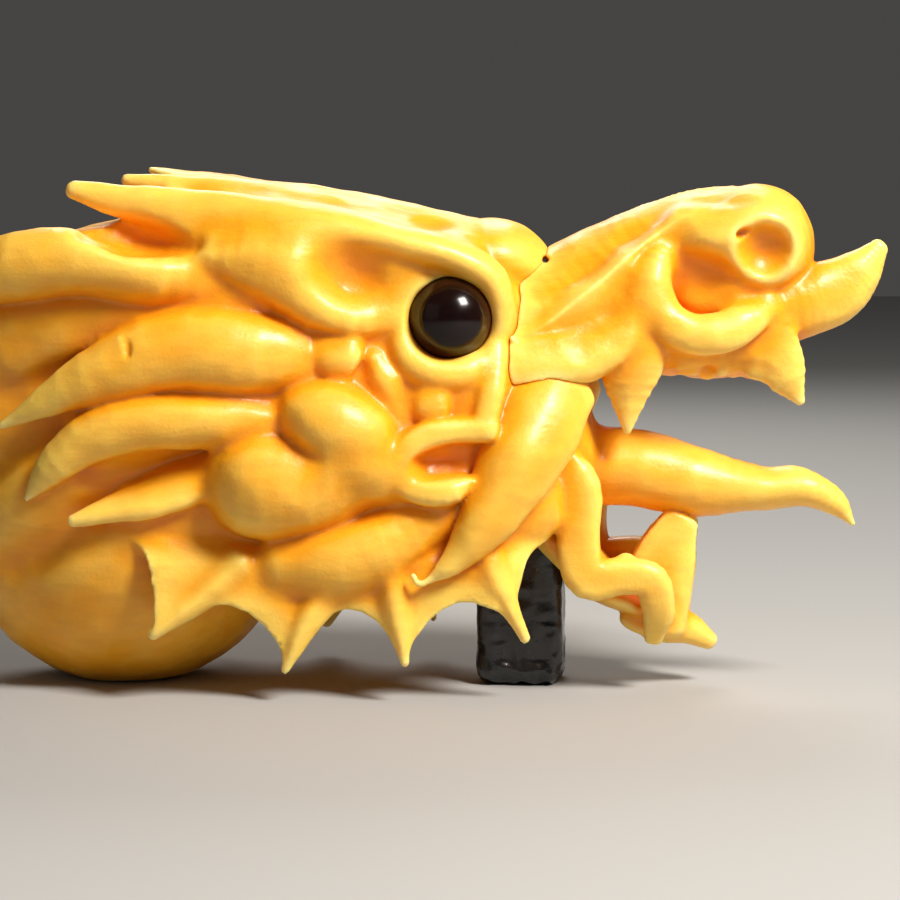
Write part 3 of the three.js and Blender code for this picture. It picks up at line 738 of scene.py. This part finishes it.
def resampled(source, target):
    """The source clay's field on the target clay's grid."""
    places = np.stack(np.meshgrid(*target.axes, indexing="ij"), -1).reshape(-1, 3)
    return interpolate(source, places).reshape(target.size)


def interpolate(clay, places, field=None):
    """A field's value at each place, from the eight grid points round it."""
    field = clay.field if field is None else field
    cell = np.clip((places - clay.low) / clay.step, 0, clay.size - 1.001)
    first = cell.astype(int)
    share = (cell - first).astype(np.float32)
    total = np.zeros(len(places), np.float32)
    for corner in np.ndindex(2, 2, 2):
        weight = np.ones(len(places), np.float32)
        for i, bit in enumerate(corner):
            weight *= share[:, i] if bit else 1 - share[:, i]
        total += weight * field[first[:, 0] + corner[0], first[:, 1] + corner[1], first[:, 2] + corner[2]]
    return total


# Post: a block wrapped in crinkled black film, bunched at its foot

def sculpt_post():
    low, high = post_box()
    clay = Clay(low - 3, high + 3, POST_STEP)
    clay.add(Block(low + 0.5, high - (0.5, 0.5, 0), corner=3), blend=0)
    height = clay.axes[2][None, None, :] - low[2]
    tight = 0.25
    loose = 0.85
    foot_height = 6
    typical_fold = 0.6
    slack = tight + loose * np.exp(-height / foot_height)
    clay.field += slack * (np.abs(unevenness(clay, cell=5, seed=8)) - typical_fold)
    clay.field += 0.5 * slack * (np.abs(unevenness(clay, cell=2.4, seed=9)) - typical_fold)
    # Trimmed flat at the foot and at the top
    spare = 30
    below = Block(low - spare, (*high[:2] + spare, low[2]))
    above = Block((*low[:2] - spare, high[2]), high + spare)
    for waste in (below, above):
        clay.cut(waste, blend=0.3)
    return clay


# From clay to mesh

def surface_net(clay):
    """Vertices and quads of the clay's surface: one vertex in each grid cell that it crosses."""
    field = clay.field
    inside = field < 0
    cell_ids = []
    places = []
    quads = []
    turns = []
    stride = np.array((clay.size[1] * clay.size[2], clay.size[2], 1))
    for axis in range(3):
        here = [slice(None)] * 3
        there = [slice(None)] * 3
        here[axis] = slice(None, -1)
        there[axis] = slice(1, None)
        crossing = np.argwhere(inside[tuple(here)] != inside[tuple(there)])
        step = np.zeros(3, int)
        step[axis] = 1
        near = field[tuple(crossing.T)]
        far = field[tuple((crossing + step).T)]
        place = crossing + step * (near / (near - far))[:, None]
        one = np.roll(step, 1)
        two = np.roll(step, 2)
        around = np.stack([(crossing - shift) @ stride for shift in (0 * one, one, one + two, two)], 1)
        quads.append(around)
        turns.append(near < 0)
        for column in around.T:
            cell_ids.append(column)
            places.append(place)
    cells, index, counts = np.unique(np.concatenate(cell_ids), return_inverse=True, return_counts=True)
    places = np.concatenate(places)
    vertices = np.stack([np.bincount(index, places[:, i]) / counts for i in range(3)], 1)
    faces = np.searchsorted(cells, np.concatenate(quads))
    backward = ~np.concatenate(turns)
    faces[backward] = faces[backward][:, ::-1]
    return clay.low + vertices * clay.step, faces


def largest_island(vertices, faces):
    """The one connected surface with the most faces: no slivers beside it, no closed bubbles inside it."""
    label = np.arange(len(vertices))
    settled = False
    while not settled:
        lower = label.copy()
        np.minimum.at(lower, faces.ravel(), np.repeat(label[faces].min(1), faces.shape[1]))
        lower = lower[lower]
        settled = np.array_equal(lower, label)
        label = lower
    island = label[faces[:, 0]]
    kept = faces[island == np.bincount(island).argmax()]
    used, renumbered = np.unique(kept, return_inverse=True)
    return vertices[used], renumbered.reshape(kept.shape)


def settle(clay, vertices, rounds=2):
    """Moves vertices onto the surface along the field's slope."""
    least_slope = 0.2
    for _ in range(rounds):
        value = interpolate(clay, vertices)
        slope = field_slope(clay, vertices)
        vertices = vertices - slope * (value / np.maximum((slope * slope).sum(1), least_slope))[:, None]
    return vertices


def field_slope(clay, vertices):
    half = 0.6 * clay.step
    columns = []
    for i in range(3):
        shift = np.zeros(3)
        shift[i] = half
        rise = interpolate(clay, vertices + shift) - interpolate(clay, vertices - shift)
        columns.append(rise / (2 * half))
    return np.stack(columns, 1)


def blurred(values, cells):
    """Three box blurs along each axis, each 2 * cells + 1 wide."""
    for _ in range(3):
        for axis in range(3):
            pad = [(0, 0)] * 3
            pad[axis] = (cells + 1, cells)
            sums = np.cumsum(np.pad(values, pad, mode="edge"), axis, dtype=np.float32)
            high = [slice(None)] * 3
            low = [slice(None)] * 3
            high[axis] = slice(2 * cells + 1, None)
            low[axis] = slice(None, -2 * cells - 1)
            values = (sums[tuple(high)] - sums[tuple(low)]) / (2 * cells + 1)
    return values


def new_object(name, vertices, faces):
    mesh = bpy.data.meshes.new(name)
    corners = faces.shape[1]
    mesh.vertices.add(len(vertices))
    places = np.asarray(vertices, np.float32) * MM + TO_ROW
    mesh.vertices.foreach_set("co", places.astype(np.float32).ravel())
    mesh.loops.add(faces.size)
    mesh.loops.foreach_set("vertex_index", faces.astype(np.int32).ravel())
    mesh.polygons.add(len(faces))
    mesh.polygons.foreach_set("loop_start", np.arange(0, faces.size, corners, dtype=np.int32))
    mesh.update(calc_edges=True)
    mesh.validate()
    piece = bpy.data.objects.new(name, mesh)
    bpy.context.scene.collection.objects.link(piece)
    return piece


def thinned(piece, triangles):
    """Lowers the piece to that many triangles with the Decimate modifier, applied."""
    piece.data.calc_loop_triangles()
    count = len(piece.data.loop_triangles)
    if count > triangles:
        thin = piece.modifiers.new("thin", "DECIMATE")
        thin.ratio = triangles / count
        evaluated = piece.evaluated_get(bpy.context.evaluated_depsgraph_get())
        mesh = bpy.data.meshes.new_from_object(evaluated)
        piece.modifiers.clear()
        piece.data = mesh
    return piece


def clay_piece(clay, name, triangles):
    """Meshes the clay at no more than that many triangles."""
    vertices, faces = largest_island(*surface_net(clay))
    piece = thinned(new_object(name, settle(clay, vertices), faces), triangles)
    piece.data.shade_smooth()
    return piece


def flesh_piece(clay, name, triangles):
    """Meshes the clay, and stores how hollow or sharp the surface is for the painted shade and painted
    highlight in the flesh colour.
    """
    piece = clay_piece(clay, name, triangles)
    mesh = piece.data
    places = np.empty(len(mesh.vertices) * 3, np.float32)
    mesh.vertices.foreach_get("co", places)
    places = (places.reshape(-1, 3) - TO_ROW) / MM
    solid = np.clip(0.5 - clay.field / clay.step, 0, 1)
    blur_spread = 1.7
    for label, radius in (("crease", CREASE_RADIUS), ("hollow", HOLLOW_RADIUS)):
        share = interpolate(clay, places, blurred(solid, max(1, round(radius / clay.step / blur_spread))))
        layer = mesh.attributes.new(label, "FLOAT", "POINT")
        layer.data.foreach_set("value", share.astype(np.float32))
    return piece


def eye_piece(side, name):
    """A ball whose dark pupil stands a little proud, with the angle off its axis stored for the colour."""
    rings = 40
    spokes = 72
    pupil_rise = 0.3
    pupil_slope = 0.1
    axis = np.array((0.14, side, 0.05))
    axis /= np.linalg.norm(axis)
    across = np.cross(axis, (0, 0, 1))
    across /= np.linalg.norm(across)
    upright = np.cross(across, axis)
    angle = np.repeat(np.linspace(0, math.pi, rings + 1)[1:-1], spokes)
    round_axis = np.tile(np.arange(spokes) * 2 * math.pi / spokes, rings - 1)
    angle = np.concatenate(([0.0], angle, [math.pi]))
    round_axis = np.concatenate(([0.0], round_axis, [0.0]))
    radius = EYE_RADIUS + pupil_rise * np.clip((PUPIL_ANGLE - angle) / pupil_slope, 0, 1)
    offset = (
        np.cos(angle)[:, None] * axis
        + (np.sin(angle) * np.cos(round_axis))[:, None] * across
        + (np.sin(angle) * np.sin(round_axis))[:, None] * upright
    )
    centre = EYE_PLACE * (1, -side, 1)
    grid = 1 + np.arange((rings - 1) * spokes).reshape(rings - 1, spokes)
    ahead = np.roll(grid, -1, 1)
    last = len(angle) - 1
    triangles = np.concatenate((
        np.stack((np.zeros(spokes, int), grid[0], ahead[0]), 1),
        np.stack((grid[:-1], grid[1:], ahead[1:]), -1).reshape(-1, 3),
        np.stack((grid[:-1], ahead[1:], ahead[:-1]), -1).reshape(-1, 3),
        np.stack((np.full(spokes, last), ahead[-1], grid[-1]), 1),
    ))
    piece = new_object(name, centre + radius[:, None] * offset, triangles)
    layer = piece.data.attributes.new("iris", "FLOAT", "POINT")
    layer.data.foreach_set("value", (angle / math.pi).astype(np.float32))
    piece.data.shade_smooth()
    return piece


# Materials

def material(name):
    made = bpy.data.materials.new(name)
    made.use_nodes = True
    tree = made.node_tree
    return made, tree, tree.nodes["Principled BSDF"]


def feed(tree, socket, value):
    """Sets a socket to a value, or links it from another node's output."""
    if isinstance(value, bpy.types.NodeSocket):
        tree.links.new(value, socket)
    else:
        socket.default_value = value


def linked(tree, kind, inputs, **settings):
    """A node with its inputs set to values or linked from other nodes' outputs."""
    node = tree.nodes.new(kind)
    for key, value in settings.items():
        setattr(node, key, value)
    for key, value in inputs.items():
        feed(tree, node.inputs[key], value)
    return node


def ramp(tree, value, stops):
    node = linked(tree, "ShaderNodeValToRGB", {"Fac": value})
    points = node.color_ramp.elements
    while len(points) < len(stops):
        points.new(0.5)
    for point, (place, colour) in zip(points, stops):
        point.position = place
        point.color = (*colour, 1)
    return node.outputs["Color"]


# Where the Mix node keeps its factor, its two colours and its colour result
MIX_INPUTS = (0, 6, 7)
MIX_RESULT = 2


def mixed(tree, share, first, second, blend="MIX"):
    node = tree.nodes.new("ShaderNodeMix")
    node.data_type = "RGBA"
    node.blend_type = blend
    for slot, value in zip(MIX_INPUTS, (share, first, second)):
        feed(tree, node.inputs[slot], value)
    return node.outputs[MIX_RESULT]


def noise(tree, place, scale, detail=3.0, rough=0.5):
    return linked(tree, "ShaderNodeTexNoise", {
        "Vector": place, "Scale": scale, "Detail": detail, "Roughness": rough,
    }).outputs["Fac"]


def flesh_material():
    """Moist pumpkin flesh, yellow on flats: painted highlight pale on edges and bulges, painted shade orange
    in hollows and red-brown in creases.
    """
    made, tree, shader = material("pumpkin_flesh")
    place = tree.nodes.new("ShaderNodeTexCoord").outputs["Object"]
    crease = linked(tree, "ShaderNodeAttribute", {}, attribute_name="crease").outputs["Fac"]
    hollow = linked(tree, "ShaderNodeAttribute", {}, attribute_name="hollow").outputs["Fac"]
    # Hollowness sets the painted shade, with random blotches of tone on top
    hollow_shade_and_blotch = linked(
        tree, "ShaderNodeMath", {0: noise(tree, place, 55, 4), 1: 0.16, 2: hollow}, operation="MULTIPLY_ADD",
    )
    # Painted highlight on bulges, yellow on flats, painted shade orange in hollows and red-brown in the
    # deepest
    depth = ramp(tree, hollow_shade_and_blotch.outputs[0], [
        (0.42, (0.96, 0.62, 0.10)), (0.57, (0.91, 0.40, 0.010)), (0.70, (0.88, 0.32, 0.005)),
        (0.88, (0.80, 0.25, 0.002)),
    ])
    # Painted highlight: sharp edges turn pale
    pale = ramp(tree, crease, [(0.26, (1, 1, 1)), (0.44, (0, 0, 0))])
    colour = mixed(tree, pale, depth, (0.98, 0.75, 0.24, 1))
    # Painted shade: creases turn red-brown
    dark = ramp(tree, crease, [(0.60, (0, 0, 0)), (0.82, (1, 1, 1))])
    colour = mixed(tree, dark, colour, (0.60, 0.20, 0.003, 1))
    fibre = linked(tree, "ShaderNodeMapping", {"Vector": place, "Scale": (0.25, 1, 1)}).outputs["Vector"]
    streak = ramp(tree, noise(tree, fibre, 420, 4), [(0.35, (0.86, 0.84, 0.78)), (0.6, (1, 1, 1))])
    colour = mixed(tree, 0.5, colour, streak, "MULTIPLY")
    tree.links.new(colour, shader.inputs["Base Color"])
    shader.inputs["Subsurface Weight"].default_value = 0.45
    shader.inputs["Subsurface Radius"].default_value = (1.0, 0.45, 0.08)
    shader.inputs["Subsurface Scale"].default_value = 0.0035
    shader.inputs["Specular IOR Level"].default_value = 0.4
    shader.inputs["Coat Weight"].default_value = 0.14
    shader.inputs["Coat Roughness"].default_value = 0.2
    wet = ramp(tree, noise(tree, place, 140, 3), [(0.3, (0.34, 0.34, 0.34)), (0.7, (0.52, 0.52, 0.52))])
    tree.links.new(wet, shader.inputs["Roughness"])
    pores = linked(tree, "ShaderNodeBump", {
        "Strength": 0.3, "Distance": 0.0003, "Height": noise(tree, place, 1100, 3),
    })
    strokes = linked(tree, "ShaderNodeBump", {
        "Strength": 0.35, "Distance": 0.0006, "Height": noise(tree, fibre, 260, 3),
        "Normal": pores.outputs["Normal"],
    })
    tree.links.new(strokes.outputs["Normal"], shader.inputs["Normal"])
    return made


def eye_material():
    """Glossy brown glass: a near-black pupil, then an amber rim, and painted shade that darkens the ball
    into the socket.
    """
    made, tree, shader = material("eye_gloss")
    place = tree.nodes.new("ShaderNodeTexCoord").outputs["Object"]
    iris = linked(tree, "ShaderNodeAttribute", {}, attribute_name="iris").outputs["Fac"]
    # The last stop is painted shade where the ball turns into the socket
    colour = ramp(tree, iris, [
        (0.0, (0.006, 0.002, 0.002)), (0.27, (0.010, 0.003, 0.002)), (0.32, (0.028, 0.008, 0.003)),
        (0.38, (0.042, 0.013, 0.004)), (0.48, (0.014, 0.005, 0.002)),
    ])
    mottle = ramp(tree, noise(tree, place, 500, 3), [(0.3, (0.6, 0.6, 0.6)), (0.7, (1, 1, 1))])
    tree.links.new(mixed(tree, 0.7, colour, mottle, "MULTIPLY"), shader.inputs["Base Color"])
    dull = ramp(tree, noise(tree, place, 250, 2), [(0.3, (0.16, 0.16, 0.16)), (0.8, (0.26, 0.26, 0.26))])
    tree.links.new(dull, shader.inputs["Roughness"])
    ripple = linked(tree, "ShaderNodeBump", {
        "Strength": 0.05, "Distance": 0.0002, "Height": noise(tree, place, 300, 2),
    })
    tree.links.new(ripple.outputs["Normal"], shader.inputs["Normal"])
    shader.inputs["Specular IOR Level"].default_value = 0.14
    shader.inputs["Coat Weight"].default_value = 0.3
    shader.inputs["Coat Roughness"].default_value = 0.14
    return made


def wrap_material():
    """Thin black film, shiny on its creases."""
    made, tree, shader = material("black_wrap")
    place = tree.nodes.new("ShaderNodeTexCoord").outputs["Object"]
    dust = ramp(tree, noise(tree, place, 90, 4), [
        (0.35, (0.004, 0.004, 0.005)), (0.75, (0.012, 0.012, 0.013)),
    ])
    tree.links.new(dust, shader.inputs["Base Color"])
    sheen = ramp(tree, noise(tree, place, 160, 3), [(0.3, (0.16, 0.16, 0.16)), (0.7, (0.42, 0.42, 0.42))])
    tree.links.new(sheen, shader.inputs["Roughness"])
    crinkle = linked(tree, "ShaderNodeBump", {
        "Strength": 0.4, "Distance": 0.0006, "Height": noise(tree, place, 380, 4, 0.6),
    })
    tree.links.new(crinkle.outputs["Normal"], shader.inputs["Normal"])
    shader.inputs["Coat Weight"].default_value = 0.25
    shader.inputs["Coat Roughness"].default_value = 0.12
    return made


def floor_material():
    made, _, shader = material("pale_floor")
    shader.inputs["Base Color"].default_value = (0.40, 0.40, 0.396, 1)
    shader.inputs["Roughness"].default_value = 0.75
    return made


# Pieces

def dress(piece, look, node):
    piece.data.materials.clear()
    piece.data.materials.append(look)
    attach(piece, "root")
    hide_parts(node)


head_clay = sculpt_head()
snout_clay = sculpt_snout(head_clay)
flesh = flesh_material()
dress(flesh_piece(head_clay, "carved_head", HEAD_TRIANGLES), flesh, "pumpkin_head")
dress(flesh_piece(snout_clay, "carved_snout", SNOUT_TRIANGLES), flesh, "snout")

gloss = eye_material()
dress(eye_piece(RIGHT, "ball_eye_right"), gloss, "right_eye")
dress(eye_piece(LEFT, "ball_eye_left"), gloss, "left_eye")
post_clay = sculpt_post()
dress(clay_piece(post_clay, "wrapped_post", POST_TRIANGLES), wrap_material(), "support_post")


# Stage: floor, light and camera

def add_stage():
    bpy.ops.mesh.primitive_plane_add(size=6, location=(0, 0, -0.0002))
    floor = bpy.context.active_object
    floor.name = "floor"
    floor.data.materials.append(floor_material())
    world = bpy.data.worlds.new("studio")
    world.use_nodes = True
    world.node_tree.nodes["Background"].inputs["Color"].default_value = (1.0, 0.98, 0.95, 1)
    world.node_tree.nodes["Background"].inputs["Strength"].default_value = 0.06
    bpy.context.scene.world = world
    bpy.context.scene.view_settings.view_transform = "Standard"
    add_area_light("key", (0.55, -0.45, 0.75), 0.3, 18, (1.0, 0.94, 0.86))
    add_area_light("fill", (-0.7, -0.7, 0.4), 0.7, 0.3, (1.0, 0.96, 0.9))
    add_area_light("rim", (-0.1, 0.8, 0.7), 0.5, 4, (1.0, 0.97, 0.92))


def add_area_light(name, place, size, power, colour):
    data = bpy.data.lights.new(name, "AREA")
    data.size = size
    data.energy = power
    data.color = colour
    lamp = bpy.data.objects.new(name, data)
    lamp.location = place
    head_middle = np.array((0, 0, 0.06))
    lamp.rotation_euler = direction_to_euler(head_middle - np.array(place))
    bpy.context.scene.collection.objects.link(lamp)


def direction_to_euler(aim):
    """The turn that makes a lamp, which shines down its own -Z, shine along aim."""
    flat = math.hypot(aim[0], aim[1])
    return (math.atan2(flat, -aim[2]), 0, math.atan2(aim[0], -aim[1]) + math.pi)


def add_camera():
    """The photo's view: 5 degrees round to the front and 5 above, from 0.7 m, 225 mm across the frame."""
    turn = math.radians(5)
    rise = math.radians(5)
    distance = 0.7
    target = np.array((0, 0, 57.5)) * MM + TO_ROW
    back = np.array((math.sin(turn) * math.cos(rise), -math.cos(turn) * math.cos(rise), math.sin(rise)))
    data = bpy.data.cameras.new("photo_view")
    data.sensor_width = 36
    data.lens = 112
    data.clip_start = 0.01
    camera = bpy.data.objects.new("photo_view", data)
    camera.location = target + back * distance
    camera.rotation_euler = (math.pi / 2 - rise, 0, turn)
    bpy.context.scene.collection.objects.link(camera)
    bpy.context.scene.camera = camera


add_stage()
add_camera()
